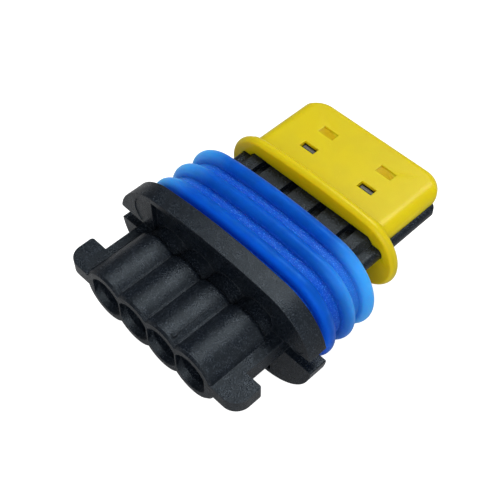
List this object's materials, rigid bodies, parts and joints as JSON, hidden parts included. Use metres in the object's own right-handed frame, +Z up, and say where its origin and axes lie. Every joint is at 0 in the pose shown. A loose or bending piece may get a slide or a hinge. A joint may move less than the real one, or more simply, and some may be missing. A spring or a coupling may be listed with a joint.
{
  "type": "sealed automotive connector housing",
  "caption": "Sealed wire-to-wire connector housing with a row of round wire entries, a ribbed perimeter seal and a sliding terminal lock cap, shown before wiring",
  "frame": {"origin": "Under the middle of the part: centre of its width and length, level with the lowest edge of the flange", "axes": "+X along the row of four cavities, +Y the mating direction (wires leave toward -Y), +Z up from the lower blocks to the lances"},
  "size_m": [0.0404, 0.0494, 0.0206],
  "materials": {
    "housing_plastic": "fine satin",
    "seal_rubber": "satin",
    "cap_plastic": "semi-gloss"
  },
  "bodies": {
    "housing_body": {"housing": "housing_plastic", "perimeter_seal": "seal_rubber"},
    "cap_body": {"lock_cap": "cap_plastic"}
  },
  "joints": [
    {"name": "cap_slide", "type": "slide", "parent": "housing_body", "child": "cap_body", "axis": [0, -1, 0], "range_m": [0, 0.0045]}
  ]
}
